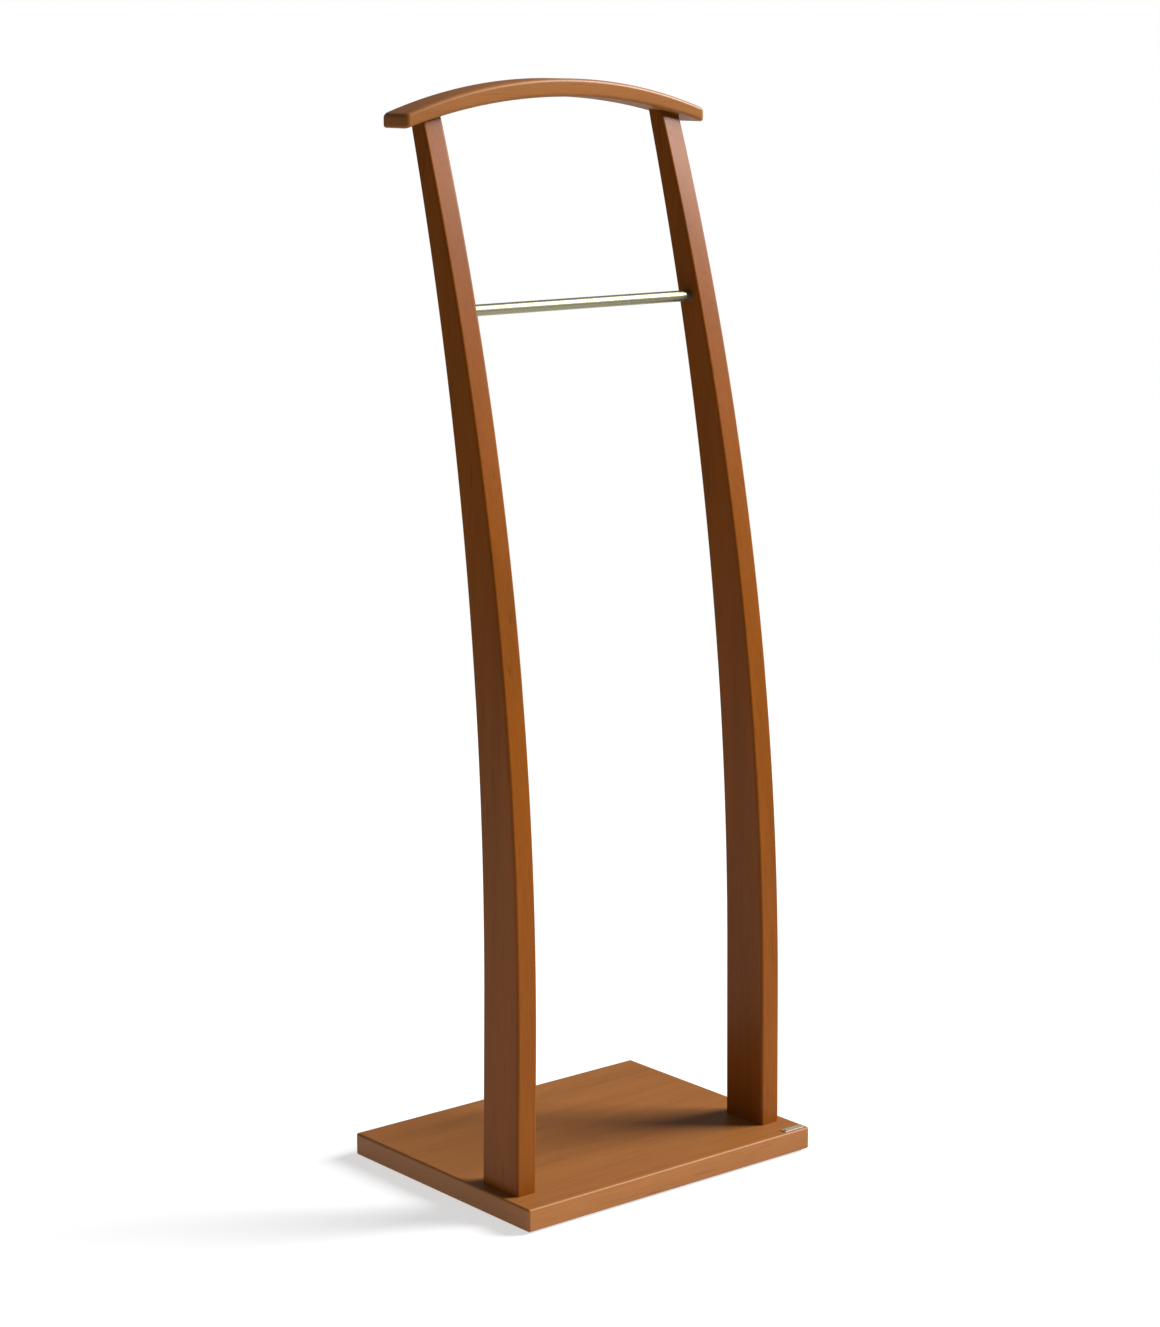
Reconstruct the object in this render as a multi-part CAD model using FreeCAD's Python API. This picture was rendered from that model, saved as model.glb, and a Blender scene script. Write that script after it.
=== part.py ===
"""Valet stand: a veneered base board, two swept uprights, a trouser bar and an arched shoulder hanger.

Frame: X runs along the hanger, +Y to the back, +Z up, origin on the floor under the centre of the base.
All sizes are in millimetres.
"""
import FreeCAD, Part
import math
import os

# Base board: a core between two veneers, inside a frame of solid lippings
BASE_W = 400.0
BASE_D = 306.0
BASE_T = 25.0
LIPPING = 6.0
VENEER = 0.6
EDGE_ROUND = 2.5

# Felt pads under the corners
PAD_R = 12.5
PAD_T = 2.0
PAD_INSET = 24.0

# Uprights: a blank with swept front and rear edges, tipped a little towards the middle
UPRIGHT_T = 26.0
FOOT_OUTER_X = 187.0
TIP_IN_DEG = 0.64
FRONT_Y = -117.0
FOOT_DEPTH = 59.0
FRONT_BEND_Z = 175.0
REAR_BEND_Z = 223.0
FRONT_R = 2890.0
REAR_R = 3345.0
UPRIGHT_ROUND = 3.0
REAR_TIP_Y = 68.0  # where the uprights' sharp rear tips are planed off

# Shoulder hanger: a crescent board on top of the uprights
HANGER_HALF = 203.5
HANGER_TOP_Z = 1174.5
HANGER_MID_H = 19.0
HANGER_TOP_R = 620.0
HANGER_UNDER_R = 700.0
HANGER_FRONT_Y = 36.5
HANGER_DEPTH = 42.0
HANGER_CORNER = 7.0
HANGER_ROUND = 4.0
SEAT_STEPS = 8

# Trouser bar: a tube that turns in two bushes, each flush in a blind socket
BAR_Z = 942.0
BAR_R = 6.0
BAR_WALL = 1.0
BAR_END_PLAY = 0.5
RUN_CLEAR = 0.06
SOCKET_DEPTH = 14.0
BUSH_WALL = 1.0
PLUG_LEN = 10.0

# Joint under each foot: two bolts up into threaded inserts, one dowel between them
BOLT_PITCH = 36.0
BOLT_R = 3.0
BOLT_HOLE_R = 3.3
BOLT_LEN = 30.0
BOLT_HEAD_R = 5.0
BOLT_HEAD_H = 6.0
BOLT_HEX_R = 2.9
BOLT_HEX_H = 3.0
BOLT_CHAMFER = 0.5
WASHER_R = 6.4
WASHER_T = 1.6
COUNTERBORE_R = 7.5
COUNTERBORE_DEPTH = 9.5
INSERT_R = 5.0
INSERT_LEN = 15.0
INSERT_HOLE_DEPTH = 25.0
DOWEL_R = 4.0
DOWEL_LEN = 32.0
GLUE_GAP = 1.0

# Joint under the hanger: two dowels in each upright
TOP_DOWEL_R = 3.0
TOP_DOWEL_LEN = 28.0
TOP_DOWEL_PITCH = 12.0
TOP_DOWEL_IN_HANGER = 11.0

# Metal badge near the front right corner
BADGE_L = 28.0
BADGE_W = 8.5
BADGE_T = 0.8
BADGE_X = 181.0
BADGE_Y = -145.5
BADGE_ROUND = 1.0
BADGE_PIN_R = 0.8
BADGE_PIN_HEAD_R = 1.5
BADGE_PIN_HEAD_T = 0.4
BADGE_PIN_LEN = 8.0
BADGE_PIN_X = BADGE_X - BADGE_L / 2 + 2.6

BOARD_Z = PAD_T
BOARD_TOP = PAD_T + BASE_T
FOOT_MID_Y = FRONT_Y + FOOT_DEPTH / 2
X_AXIS = FreeCAD.Vector(1, 0, 0)
Y_AXIS = FreeCAD.Vector(0, 1, 0)
SIDES = {"left": -1, "right": 1}
TOUCH = 0.01


def vec(x, y, z):
    return FreeCAD.Vector(x, y, z)


def block(low, high):
    """Box from its lowest and highest corners."""
    size = [h - l for l, h in zip(low, high)]
    return Part.makeBox(*size, vec(*low))


def rod(radius, length, start, axis=(0, 0, 1)):
    return Part.makeCylinder(radius, length, vec(*start), vec(*axis))


def bored(shape, tools):
    """The shape with every tool cut out of it, as one solid."""
    for tool in tools:
        shape = shape.cut(tool)
    return shape.Solids[0]


def sweep_offset(height, bend_z, radius):
    """How far an edge has swung back at a height, upright to bend_z and then round an arc."""
    rise = max(height - bend_z, 0.0)
    return radius - math.sqrt(radius * radius - rise * rise)


def front_y(z):
    return FRONT_Y + sweep_offset(z, FRONT_BEND_Z, FRONT_R)


def rear_y(z):
    return FRONT_Y + FOOT_DEPTH + sweep_offset(z, REAR_BEND_Z, REAR_R)


def mid_y(z):
    return (front_y(z) + rear_y(z)) / 2


def outer_x(z):
    """Distance from the middle to an upright's outer face."""
    return FOOT_OUTER_X - (z - BOARD_TOP) * math.tan(math.radians(TIP_IN_DEG))


def long_edges(shape, length):
    """Edges at least as long as length."""
    return [edge for edge in shape.Edges if edge.Length >= length]


# Shoulder hanger ---------------------------------------------------------------------------------

def arc_drop(x, radius):
    return radius - math.sqrt(radius * radius - x * x)


def crescent_face(y):
    """The hanger's outline in the plane y: one arc above, a flatter one below and straight ends."""
    half = HANGER_HALF
    under_z = HANGER_TOP_Z - HANGER_MID_H
    under_end = under_z - arc_drop(half, HANGER_UNDER_R)
    top_end = HANGER_TOP_Z - arc_drop(half, HANGER_TOP_R)
    under = Part.Arc(vec(-half, y, under_end), vec(0, y, under_z), vec(half, y, under_end)).toShape()
    top = Part.Arc(vec(-half, y, top_end), vec(0, y, HANGER_TOP_Z), vec(half, y, top_end)).toShape()
    left = Part.makeLine(vec(-half, y, under_end), vec(-half, y, top_end))
    right = Part.makeLine(vec(half, y, under_end), vec(half, y, top_end))
    return Part.Face(Part.Wire(Part.__sortEdges__([under, right, top, left])))


def under_hanger():
    """The drum whose top is the curve of the hanger's underside."""
    axis_z = HANGER_TOP_Z - HANGER_MID_H - HANGER_UNDER_R
    return Part.makeCylinder(HANGER_UNDER_R, BASE_D, vec(0, -BASE_D / 2, axis_z), Y_AXIS)


def is_upright(edge):
    """Whether an edge runs straight up."""
    return max(edge.BoundBox.XLength, edge.BoundBox.YLength) < TOUCH


def shoulder_hanger():
    shape = crescent_face(HANGER_FRONT_Y).extrude(vec(0, HANGER_DEPTH, 0))
    shape = shape.makeFillet(HANGER_CORNER, [edge for edge in shape.Edges if is_upright(edge)])
    shape = shape.makeFillet(HANGER_ROUND, [edge for edge in shape.Edges if not is_upright(edge)])
    return bored(shape, [hole for side in SIDES for hole in top_dowels(side, GLUE_GAP)])


def top_seat(side):
    """Middle of an upright's top end and the direction along the upright there.

    The reach and the height depend on each other, so they are worked out in a few steps.
    """
    sign = SIDES[side]
    z = HANGER_TOP_Z - HANGER_MID_H
    for _ in range(SEAT_STEPS):
        x = outer_x(z) - UPRIGHT_T / 2
        z = HANGER_TOP_Z - HANGER_MID_H - arc_drop(x, HANGER_UNDER_R)
    slope = mid_y(z) - mid_y(z - 1.0)
    return vec(sign * x, mid_y(z), z), vec(0, slope, 1).normalize()


def top_dowels(side, extra=0.0):
    """The pair of dowels in one upright's top, or their holes when extra lengthens them."""
    seat, along = top_seat(side)
    pair = []
    for step in (-0.5, 0.5):
        centre = seat + X_AXIS * (step * TOP_DOWEL_PITCH)
        low = centre - along * (TOP_DOWEL_LEN - TOP_DOWEL_IN_HANGER + extra)
        pair.append(Part.makeCylinder(TOP_DOWEL_R, TOP_DOWEL_LEN + 2 * extra, low, along))
    return pair


# Uprights ----------------------------------------------------------------------------------------

def swept_profile(top_z):
    """Side outline of an upright: straight at the foot, then arcs at the front and at the rear."""
    edges = []
    for y_at, bend in ((front_y, FRONT_BEND_Z), (rear_y, REAR_BEND_Z)):
        foot = vec(0, y_at(BOARD_TOP), 0)
        bend_point = vec(0, y_at(bend), bend)
        middle = (bend + top_z) / 2
        edges.append(Part.makeLine(foot, bend_point))
        arc = Part.Arc(bend_point, vec(0, y_at(middle), middle), vec(0, y_at(top_z), top_z))
        edges.append(arc.toShape())
    edges.append(Part.makeLine(vec(0, front_y(0), 0), vec(0, rear_y(0), 0)))
    edges.append(Part.makeLine(vec(0, front_y(top_z), top_z), vec(0, rear_y(top_z), top_z)))
    return Part.Face(Part.Wire(Part.__sortEdges__(edges)))


def upright_blank(side):
    """One swept blank with rounded long edges, tipped in and trimmed to the board and the hanger.

    The sharp tip that its rear edge comes to at the top is planed off.
    """
    sign = SIDES[side]
    blank = swept_profile(HANGER_TOP_Z + HANGER_MID_H).extrude(vec(UPRIGHT_T, 0, 0))
    blank = blank.makeFillet(UPRIGHT_ROUND, long_edges(blank, FRONT_BEND_Z - 1))
    inner = FOOT_OUTER_X - UPRIGHT_T if sign > 0 else -FOOT_OUTER_X
    blank.translate(vec(inner, 0, 0))
    blank.rotate(vec(sign * FOOT_OUTER_X, 0, BOARD_TOP), Y_AXIS, -sign * TIP_IN_DEG)
    kept = block((-BASE_W, -BASE_D, BOARD_TOP), (BASE_W, REAR_TIP_Y, HANGER_TOP_Z))
    return blank.common(under_hanger()).common(kept)


def upright(side):
    holes = [socket_hole(side)] + top_dowels(side, GLUE_GAP) + foot_dowel(side, GLUE_GAP)
    holes += [rod(INSERT_R, INSERT_HOLE_DEPTH, (x, y, BOARD_TOP)) for x, y in bolt_places(side)]
    return bored(upright_blank(side), holes)


# Joint under each foot ---------------------------------------------------------------------------

def foot_x(side):
    return SIDES[side] * (outer_x(BOARD_TOP) - UPRIGHT_T / 2)


def bolt_places(side):
    return [(foot_x(side), FOOT_MID_Y + step * BOLT_PITCH) for step in (-0.5, 0.5)]


def foot_dowel(side, extra=0.0):
    """The dowel between the two bolts, or its hole when extra lengthens it."""
    low = BOARD_TOP - DOWEL_LEN / 2 - extra
    return [rod(DOWEL_R, DOWEL_LEN + 2 * extra, (foot_x(side), FOOT_MID_Y, low))]


def bolt(x, y):
    """Socket head bolt, head down in its counterbore."""
    under_head = BOARD_Z + COUNTERBORE_DEPTH - WASHER_T
    head = rod(BOLT_HEAD_R, BOLT_HEAD_H, (x, y, under_head - BOLT_HEAD_H))
    head = head.makeChamfer(BOLT_CHAMFER, [head.Edges[2]])
    shank = rod(BOLT_R, BOLT_LEN, (x, y, under_head))
    corners = [vec(x + BOLT_HEX_R * math.cos(math.radians(60 * k)),
                   y + BOLT_HEX_R * math.sin(math.radians(60 * k)),
                   under_head - BOLT_HEAD_H) for k in range(7)]
    key_socket = Part.Face(Part.makePolygon(corners)).extrude(vec(0, 0, BOLT_HEX_H))
    return head.fuse(shank).removeSplitter().cut(key_socket).Solids[0]


def washer(x, y):
    base = BOARD_Z + COUNTERBORE_DEPTH - WASHER_T
    return rod(WASHER_R, WASHER_T, (x, y, base)).cut(rod(BOLT_HOLE_R, WASHER_T, (x, y, base)))


def threaded_insert(x, y):
    outside = rod(INSERT_R, INSERT_LEN, (x, y, BOARD_TOP))
    return outside.cut(rod(BOLT_R, INSERT_LEN, (x, y, BOARD_TOP)))


# Base board --------------------------------------------------------------------------------------

def base_drillings():
    """Every hole that the board needs: bolts, counterbores, dowels and the badge's pin."""
    tools = [badge_pin_shank()]
    for side in SIDES:
        tools += foot_dowel(side, GLUE_GAP)
        for x, y in bolt_places(side):
            tools.append(rod(BOLT_HOLE_R, BASE_T, (x, y, BOARD_Z)))
            tools.append(rod(COUNTERBORE_R, COUNTERBORE_DEPTH, (x, y, BOARD_Z)))
    return tools


def base_nodes():
    """The board's seven layers and edges by node name."""
    inner_x = BASE_W / 2 - LIPPING
    inner_y = BASE_D / 2 - LIPPING
    low, high = BOARD_Z, BOARD_TOP
    drillings = base_drillings()

    def layer(z0, z1):
        return bored(block((-inner_x, -inner_y, z0), (inner_x, inner_y, z1)), drillings)

    nodes = {
        "base_core": layer(low + VENEER, high - VENEER),
        "base_bottom_veneer": layer(low, low + VENEER),
        "base_top_veneer": layer(high - VENEER, high),
    }
    half_w, half_d = BASE_W / 2, BASE_D / 2
    nodes["base_lipping_front"] = block((-half_w, -half_d, low), (half_w, -inner_y, high))
    nodes["base_lipping_back"] = block((-half_w, inner_y, low), (half_w, half_d, high))
    nodes["base_lipping_left"] = block((-half_w, -inner_y, low), (-inner_x, inner_y, high))
    nodes["base_lipping_right"] = block((inner_x, -inner_y, low), (half_w, inner_y, high))
    for name in [n for n in nodes if "lipping" in n]:
        nodes[name] = nodes[name].common(rounded_board()).Solids[0]
    return nodes


def rounded_board():
    """The board's outside shape with its outer edges rounded."""
    shape = block((-BASE_W / 2, -BASE_D / 2, BOARD_Z), (BASE_W / 2, BASE_D / 2, BOARD_TOP))
    return shape.makeFillet(EDGE_ROUND, shape.Edges)


# Trouser bar -------------------------------------------------------------------------------------

def inner_face_x(z):
    return outer_x(z) - UPRIGHT_T / math.cos(math.radians(TIP_IN_DEG))


def along_bar(side, radius, start, end):
    """Cylinder on the bar's axis from start to end, counted from the upright's inner face outward."""
    sign = SIDES[side]
    x = sign * (inner_face_x(BAR_Z) + start)
    return Part.makeCylinder(radius, end - start, vec(x, mid_y(BAR_Z), BAR_Z), X_AXIS * sign)


def socket_hole(side):
    """Blind hole in an upright's inner face that takes the bush."""
    return along_bar(side, BAR_R + RUN_CLEAR + BUSH_WALL, -BUSH_WALL, SOCKET_DEPTH)


def bar_bush(side):
    """Cup that lines the socket and carries the bar's end."""
    cup = along_bar(side, BAR_R + RUN_CLEAR + BUSH_WALL, 0.0, SOCKET_DEPTH)
    return cup.cut(along_bar(side, BAR_R + RUN_CLEAR, -BUSH_WALL, SOCKET_DEPTH - BUSH_WALL))


def bar_half():
    return inner_face_x(BAR_Z) + SOCKET_DEPTH - BUSH_WALL - BAR_END_PLAY


def trouser_bar():
    half = bar_half()
    start = (-half, mid_y(BAR_Z), BAR_Z)
    outside = rod(BAR_R, 2 * half, start, (1, 0, 0))
    return outside.cut(rod(BAR_R - BAR_WALL, 2 * half, start, (1, 0, 0)))


def bar_plug(side):
    """Plastic plug that closes one end of the tube."""
    sign = SIDES[side]
    start = (sign * (bar_half() - PLUG_LEN), mid_y(BAR_Z), BAR_Z)
    return rod(BAR_R - BAR_WALL, PLUG_LEN, start, (sign, 0, 0))


# Badge -------------------------------------------------------------------------------------------

def badge_pin_shank():
    return rod(BADGE_PIN_R, BADGE_PIN_LEN + BADGE_T, (BADGE_PIN_X, BADGE_Y, BOARD_TOP - BADGE_PIN_LEN))


def badge_pin():
    head = rod(BADGE_PIN_HEAD_R, BADGE_PIN_HEAD_T, (BADGE_PIN_X, BADGE_Y, BOARD_TOP + BADGE_T))
    return badge_pin_shank().fuse(head).removeSplitter().Solids[0]


def badge_plate():
    low = (BADGE_X - BADGE_L / 2, BADGE_Y - BADGE_W / 2, BOARD_TOP)
    high = (BADGE_X + BADGE_L / 2, BADGE_Y + BADGE_W / 2, BOARD_TOP + BADGE_T)
    plate = block(low, high)
    corners = [edge for edge in plate.Edges if abs(edge.Length - BADGE_T) < TOUCH]
    return bored(plate.makeFillet(BADGE_ROUND, corners), [badge_pin_shank()])


# Assembly ----------------------------------------------------------------------------------------

def build():
    nodes = base_nodes()
    nodes["shoulder_hanger"] = shoulder_hanger()
    nodes["trouser_bar"] = trouser_bar()
    for side in SIDES:
        places = bolt_places(side)
        nodes[f"upright_{side}"] = upright(side)
        nodes[f"bar_bush_{side}"] = bar_bush(side)
        nodes[f"bar_plug_{side}"] = bar_plug(side)
        nodes[f"foot_bolts_{side}"] = Part.makeCompound([bolt(x, y) for x, y in places])
        nodes[f"foot_washers_{side}"] = Part.makeCompound([washer(x, y) for x, y in places])
        nodes[f"foot_inserts_{side}"] = Part.makeCompound([threaded_insert(x, y) for x, y in places])
        nodes[f"foot_dowel_{side}"] = foot_dowel(side)[0]
        nodes[f"hanger_dowels_{side}"] = Part.makeCompound(top_dowels(side))
        for end, sign in (("front", -1), ("back", 1)):
            x = SIDES[side] * (BASE_W / 2 - PAD_INSET)
            y = sign * (BASE_D / 2 - PAD_INSET)
            nodes[f"felt_pad_{end}_{side}"] = rod(PAD_R, PAD_T, (x, y, 0))
    nodes["badge_plate"] = badge_plate()
    nodes["badge_pin"] = badge_pin()
    return nodes


os.makedirs("parts", exist_ok=True)
for node_name, node_shape in build().items():
    node_shape.exportStep(f"parts/{node_name}.step")
    print(node_name, len(node_shape.Solids), round(node_shape.Volume, 1), node_shape.isValid())
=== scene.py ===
"""The looks of a valet stand: board, swept uprights, arched hanger and turning trouser bar, in metres."""
import logging
import math
from dataclasses import dataclass, field, replace
from enum import Enum
from functools import cache

import bpy
from mathutils import Matrix, Vector


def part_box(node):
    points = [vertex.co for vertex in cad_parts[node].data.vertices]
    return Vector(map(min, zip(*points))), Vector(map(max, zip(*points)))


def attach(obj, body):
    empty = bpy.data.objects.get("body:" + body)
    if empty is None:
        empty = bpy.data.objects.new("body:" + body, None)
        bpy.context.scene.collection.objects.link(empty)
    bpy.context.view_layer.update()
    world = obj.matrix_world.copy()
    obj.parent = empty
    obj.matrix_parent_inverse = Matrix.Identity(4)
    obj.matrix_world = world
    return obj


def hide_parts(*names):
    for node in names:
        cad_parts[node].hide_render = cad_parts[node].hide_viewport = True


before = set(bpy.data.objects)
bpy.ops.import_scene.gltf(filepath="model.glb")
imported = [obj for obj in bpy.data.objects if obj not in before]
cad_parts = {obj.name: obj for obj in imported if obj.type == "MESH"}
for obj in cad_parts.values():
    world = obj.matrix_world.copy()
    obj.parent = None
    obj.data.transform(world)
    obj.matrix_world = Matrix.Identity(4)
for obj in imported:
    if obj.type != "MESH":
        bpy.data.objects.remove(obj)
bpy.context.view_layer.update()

LOG = logging.getLogger("valet_stand")
MM = 0.001
SIDES = {"left": -1, "right": 1}
STEPS = 48  # points round every turned piece
CORNER_STEPS = 6  # points round each corner of a bar's section
DRIFT = (1.0, 0.7, 1.3)  # the way from one piece's figure to the next one's
CUTTERS: list[bpy.types.Object] = []
Colour = tuple[float, float, float]
Loop = list[tuple[float, float, float]]


class Grain(Enum):
    """The axis that a piece's wood grain runs along."""

    ACROSS = 0
    DEEP = 1
    UP = 2


# Geometry trees ------------------------------------------------------------------------------


class Value:
    """A number or a field inside a geometry tree, which plain arithmetic extends."""

    def __init__(self, tree: "Tree", socket: bpy.types.NodeSocket) -> None:
        """Wrap one output socket.

        Args:
            tree: the tree that the socket belongs to.
            socket: the output socket.
        """
        self.tree = tree
        self.socket = socket

    def math(self, operation: str, *others: "Value | float") -> "Value":
        """Apply a Math node.

        Args:
            operation: the node's operation, such as "MULTIPLY".
            others: its second and third inputs.

        Returns:
            The node's result.
        """
        node = self.tree.node("ShaderNodeMath", operation=operation)
        for slot, item in enumerate((self, *others)):
            self.tree.feed(node.inputs[slot], item)
        return Value(self.tree, node.outputs[0])

    def __add__(self, other: "Value | float") -> "Value":
        """Sum of the two."""
        return self.math("ADD", other)

    def __sub__(self, other: "Value | float") -> "Value":
        """This less the other."""
        return self.math("SUBTRACT", other)

    def __mul__(self, other: "Value | float") -> "Value":
        """Product of the two."""
        return self.math("MULTIPLY", other)

    def __truediv__(self, other: "Value | float") -> "Value":
        """This divided by the other."""
        return self.math("DIVIDE", other)

    def sign(self) -> "Value":
        """Which side of zero the value is on."""
        return self.math("SIGN")

    def drop(self, radius: "Value | float") -> "Value":
        """How far a circle of this radius has fallen from its tangent, this far along."""
        inside = self.tree.constant(radius) if isinstance(radius, float) else radius
        return inside - (inside * inside - self * self).math("SQRT")


class Tree:
    """A geometry tree under construction, with named inputs for its sizes."""

    def __init__(self, name: str) -> None:
        """Start an empty tree.

        Args:
            name: the tree's name.
        """
        self.name = name
        self.group = bpy.data.node_groups.new(name, "GeometryNodeTree")
        self.group.interface.new_socket("Mesh", in_out="OUTPUT", socket_type="NodeSocketGeometry")
        self.entry = self.group.nodes.new("NodeGroupInput")
        self.sizes: dict[str, tuple[str, float | int]] = {}

    def node(self, kind: str, **settings: object) -> bpy.types.Node:
        """Add a node.

        Args:
            kind: the node's type name.
            settings: its properties.

        Returns:
            The new node.
        """
        made = self.group.nodes.new(kind)
        for key, setting in settings.items():
            setattr(made, key, setting)
        return made

    def feed(self, socket: bpy.types.NodeSocket, item: object) -> None:
        """Link a value or an output to an input, or set the input to a plain number."""
        if isinstance(item, Value):
            item = item.socket
        if isinstance(item, bpy.types.NodeSocket):
            self.group.links.new(item, socket)
        else:
            socket.default_value = item

    def size(self, name: str, value: float | int) -> Value:
        """Add a named input with its value.

        Args:
            name: the input's name.
            value: its value here, a whole number for a count.

        Returns:
            The input as a value.
        """
        kind = "NodeSocketInt" if isinstance(value, int) else "NodeSocketFloat"
        item = self.group.interface.new_socket(name, in_out="INPUT", socket_type=kind)
        self.sizes[name] = (item.identifier, value)
        return Value(self, self.entry.outputs[name])

    def constant(self, value: float) -> Value:
        """A fixed number as a value."""
        node = self.node("ShaderNodeValue")
        node.outputs[0].default_value = value
        return Value(self, node.outputs[0])

    def call(self, kind: str, inputs: dict[int | str, object], **settings: object) -> bpy.types.NodeSocket:
        """Add a node and feed its inputs.

        Args:
            kind: the node's type name.
            inputs: input name or number to what it gets.
            settings: the node's properties.

        Returns:
            The node's first output.
        """
        made = self.node(kind, **settings)
        for key, item in inputs.items():
            self.feed(made.inputs[key], item)
        return made.outputs[0]

    def where(self) -> tuple[Value, Value, Value]:
        """The position field's three parts."""
        parts = self.node("ShaderNodeSeparateXYZ")
        self.feed(parts.inputs[0], self.call("GeometryNodeInputPosition", {}))
        return tuple(Value(self, out) for out in parts.outputs)

    def point(self, x: object, y: object, z: object) -> bpy.types.NodeSocket:
        """A vector from three values."""
        return self.call("ShaderNodeCombineXYZ", {0: x, 1: y, 2: z})

    def moved(self, mesh: bpy.types.NodeSocket, place: bpy.types.NodeSocket) -> bpy.types.NodeSocket:
        """The mesh with every point put at a place."""
        return self.call("GeometryNodeSetPosition", {"Geometry": mesh, "Position": place})

    def bar(self, rings: object, width: object, height: object, rounding: object) -> bpy.types.NodeSocket:
        """A closed bar along +Z, one unit a ring, with a rounded oblong section.

        Args:
            rings: how many steps long it is.
            width: size along X.
            height: size along Y.
            rounding: radius of its long edges.

        Returns:
            The mesh.
        """
        end = self.point(0.0, 0.0, rings)
        path = self.call("GeometryNodeCurvePrimitiveLine", {"End": end})
        path = self.call("GeometryNodeResampleCurve", {"Curve": path, "Count": rings + 1})
        section = self.call("GeometryNodeCurvePrimitiveQuadrilateral", {"Width": width, "Height": height})
        section = self.call(
            "GeometryNodeFilletCurve",
            {"Curve": section, "Count": CORNER_STEPS, "Radius": rounding},
            mode="POLY",
        )
        return self.call(
            "GeometryNodeCurveToMesh", {"Curve": path, "Profile Curve": section, "Fill Caps": True}
        )

    def finish(self, mesh: bpy.types.NodeSocket, material: bpy.types.Material) -> bpy.types.Object:
        """End the tree, run it once and keep the result as a plain mesh.

        Args:
            mesh: what the tree makes.
            material: its finish.

        Returns:
            The finished object, with no modifier left on it.
        """
        real = self.call("GeometryNodeRealizeInstances", {"Geometry": mesh})
        dressed = self.call("GeometryNodeSetMaterial", {"Geometry": real, "Material": material})
        self.group.links.new(dressed, self.node("NodeGroupOutput").inputs[0])
        seed = bpy.data.objects.new(self.name, bpy.data.meshes.new(self.name))
        bpy.context.scene.collection.objects.link(seed)
        modifier = seed.modifiers.new("shape", "NODES")
        modifier.node_group = self.group
        for identifier, value in self.sizes.values():
            modifier[identifier] = value
        return baked(seed)


# Plain mesh helpers --------------------------------------------------------------------------


def baked(made: bpy.types.Object) -> bpy.types.Object:
    """Turn an object's evaluated shape into its own plain mesh.

    Args:
        made: the object, with its modifiers.

    Returns:
        The same object, with no modifiers.
    """
    graph = bpy.context.evaluated_depsgraph_get()
    mesh = bpy.data.meshes.new_from_object(made.evaluated_get(graph), depsgraph=graph)
    made.modifiers.clear()
    old = made.data
    made.data = mesh
    bpy.data.meshes.remove(old)
    return made


def softened(made: bpy.types.Object, sharp_deg: float = 32.0) -> bpy.types.Object:
    """Shade a piece smooth, with its sharp edges kept and its flats flat.

    Args:
        made: the piece.
        sharp_deg: edges that turn more than this stay sharp.

    Returns:
        The same piece.
    """
    made.data.shade_smooth()
    made.data.set_sharp_from_angle(angle=math.radians(sharp_deg))
    weighted = made.modifiers.new("flat_faces", "WEIGHTED_NORMAL")
    weighted.keep_sharp = True
    weighted.weight = 80
    return baked(made)


def ring(radius: float, height: float, flutes: int = 0, flute_depth: float = 0.0) -> Loop:
    """Points of a circle, with grooves along it if wanted.

    Args:
        radius: its radius.
        height: its place along the axis.
        flutes: how many grooves.
        flute_depth: how deep they are.

    Returns:
        The points.
    """
    points = []
    for angle in (2 * math.pi * step / STEPS for step in range(STEPS)):
        reach = radius - flute_depth * (0.5 - 0.5 * math.cos(flutes * angle))
        points.append((reach * math.cos(angle), reach * math.sin(angle), height))
    return points


def hexagon(corner: float, height: float) -> Loop:
    """Points of a hexagon, given by how far its corners are from the axis."""
    sixth = math.pi / 3
    points = []
    for angle in (2 * math.pi * step / STEPS for step in range(STEPS)):
        reach = corner * math.cos(sixth / 2) / math.cos(angle % sixth - sixth / 2)
        points.append((reach * math.cos(angle), reach * math.sin(angle), height))
    return points


def oblong(width: float, depth: float, corner: float, height: float) -> Loop:
    """Points of an oblong with round corners.

    Args:
        width: its size along X.
        depth: its size along Y.
        corner: the radius of its corners.
        height: its place along the axis.

    Returns:
        The points.
    """
    points = []
    for quarter_turn, (side_x, side_y) in enumerate(((1, 1), (-1, 1), (-1, -1), (1, -1))):
        for step in range(STEPS // 4):
            angle = math.pi / 2 * (quarter_turn + step / (STEPS // 4 - 1))
            x = side_x * (width / 2 - corner) + corner * math.cos(angle)
            y = side_y * (depth / 2 - corner) + corner * math.sin(angle)
            points.append((x, y, height))
    return points


def stacked(
    name: str, loops: list[Loop], material: bpy.types.Material, hollow: bool = False
) -> bpy.types.Object:
    """A closed piece whose skin runs from loop to loop, from its low end to its high end.

    Args:
        name: the piece's name.
        loops: the loops, of which one with a single point is a tip.
        material: its finish.
        hollow: whether the last loop joins the first, which leaves a hole along the axis.

    Returns:
        The piece, at the origin.
    """
    verts = [point for loop in loops for point in loop]
    rows, count = [], 0
    for loop in loops:
        rows.append([count + step % len(loop) for step in range(STEPS)])
        count += len(loop)
    pairs = list(zip(rows, rows[1:] + rows[:1])) if hollow else list(zip(rows, rows[1:]))
    faces = []
    for low, high in pairs:
        for step in range(STEPS):
            after = (step + 1) % STEPS
            corners = dict.fromkeys((low[step], low[after], high[after], high[step]))
            if len(corners) > 2:
                faces.append(list(corners))
    if not hollow and len(loops[0]) > 1:
        faces.append(rows[0][::-1])
    if not hollow and len(loops[-1]) > 1:
        faces.append(rows[-1])
    mesh = bpy.data.meshes.new(name)
    mesh.from_pydata(verts, [], faces)
    mesh.materials.append(material)
    made = bpy.data.objects.new(name, mesh)
    bpy.context.scene.collection.objects.link(made)
    return softened(made)


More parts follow.
